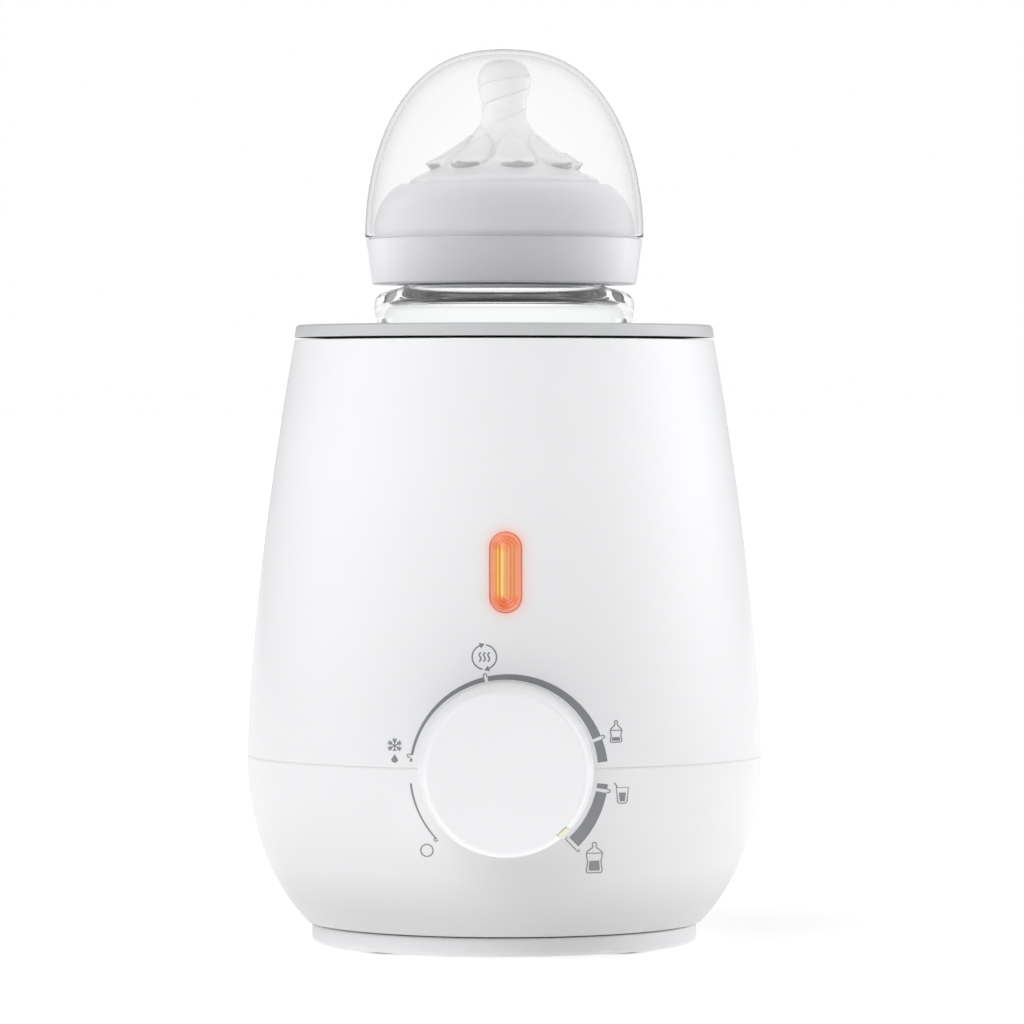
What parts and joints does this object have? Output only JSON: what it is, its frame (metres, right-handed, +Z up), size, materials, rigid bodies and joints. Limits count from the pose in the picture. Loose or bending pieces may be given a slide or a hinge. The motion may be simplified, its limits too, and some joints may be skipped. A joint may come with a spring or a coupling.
{
  "type": "bottle warmer",
  "caption": "Tapered electric baby bottle warmer with a front setting knob, a lit lens and a removable glass bottle in its water well.",
  "frame": {"origin": "on the floor under the middle of the base, on the body axis; the base plate underside is 0.6 mm above it and the rubber feet reach it", "axes": "+Z up, the knob faces -Y, +X is to the right as the knob is seen from the front"},
  "size_m": [0.1302, 0.1451, 0.2258],
  "materials": {
    "white_plastic": "satin white",
    "base_plastic": "matte off-white",
    "grey_trim": "satin light grey",
    "knob_plastic": "satin white",
    "pointer_cream": "cream inlay",
    "well_plastic": "satin white",
    "aluminium": "turned",
    "gasket_rubber": "matte",
    "ceramic": "sintered ceramic",
    "mica": "mica sheet",
    "moulded_black": "moulded",
    "lens_orange": "clear orange, lit",
    "lamp_glass": "clear",
    "lead_insulation": "silicone sleeve",
    "steel": "zinc plated",
    "bottle_glass": "clear borosilicate",
    "teat_silicone": "translucent silicone",
    "ring_plastic": "satin white",
    "dome_plastic": "clear"
  },
  "bodies": {
    "base": {"base_plate": "base_plastic", "base_screw_1": "steel", "base_screw_2": "steel", "base_screw_3": "steel", "bracket_screw_1": "steel", "bracket_screw_2": "steel", "cord_clamp": "base_plastic", "cord_clamp_screw_1": "steel", "cord_clamp_screw_2": "steel", "cord_gland": "base_plastic", "cutoff_screw_1": "steel", "cutoff_screw_2": "steel", "heater_clamp": "steel", "heater_clamp_screw_1": "steel", "heater_clamp_screw_2": "steel", "heater_insulator": "mica", "heating_plate": "aluminium", "housing_screw_1": "steel", "housing_screw_2": "steel", "housing_screw_3": "steel", "housing_screw_4": "steel", "indicator_lens": "lens_orange", "lamp_holder": "moulded_black", "lamp_holder_screw": "steel", "lead_cutoff_to_thermostat": "lead_insulation", "lead_lamp_to_terminal": "lead_insulation", "lead_terminal_to_cutoff": "lead_insulation", "lead_terminal_to_heater": "lead_insulation", "lead_thermostat_to_heater": "lead_insulation", "lead_thermostat_to_lamp": "lead_insulation", "lower_housing": "white_plastic", "neon_lamp": "lamp_glass", "ptc_heater": "ceramic", "rubber_foot_1": "gasket_rubber", "rubber_foot_2": "gasket_rubber", "rubber_foot_3": "gasket_rubber", "rubber_foot_4": "gasket_rubber", "terminal_block": "moulded_black", "terminal_block_screw": "steel", "thermal_cutoff": "moulded_black", "thermostat": "moulded_black", "thermostat_bracket": "steel", "top_ring": "grey_trim", "upper_housing": "white_plastic", "water_well": "well_plastic", "well_gasket": "gasket_rubber"},
    "knob": {"knob": "knob_plastic", "knob_pointer": "pointer_cream", "knob_clip": "steel", "control_shaft": "steel"},
    "bottle": {"glass_bottle": "bottle_glass"},
    "teat": {"teat": "teat_silicone"},
    "ring": {"screw_ring": "ring_plastic"},
    "dome": {"dome_cap": "dome_plastic"}
  },
  "joints": [
    {"name": "knob_turn", "type": "hinge", "parent": "base", "child": "knob", "pos_m": [0, -0.0614, 0.0476], "axis": [0, -1, 0], "range_deg": [0, 270]},
    {"name": "bottle_lift", "type": "slide", "parent": "base", "child": "bottle", "axis": [0, 0, 1], "range_m": [0, 0.13]},
    {"name": "teat_lift", "type": "slide", "parent": "bottle", "child": "teat", "axis": [0, 0, 1], "range_m": [0, 0.08]},
    {"name": "ring_turn", "type": "hinge", "parent": "teat", "child": "ring", "pos_m": [0, 0, 0.1779], "axis": [0, 0, 1], "range_deg": [0, 450]},
    {"name": "dome_lift", "type": "slide", "parent": "ring", "child": "dome", "axis": [0, 0, 1], "range_m": [0, 0.06]}
  ]
}
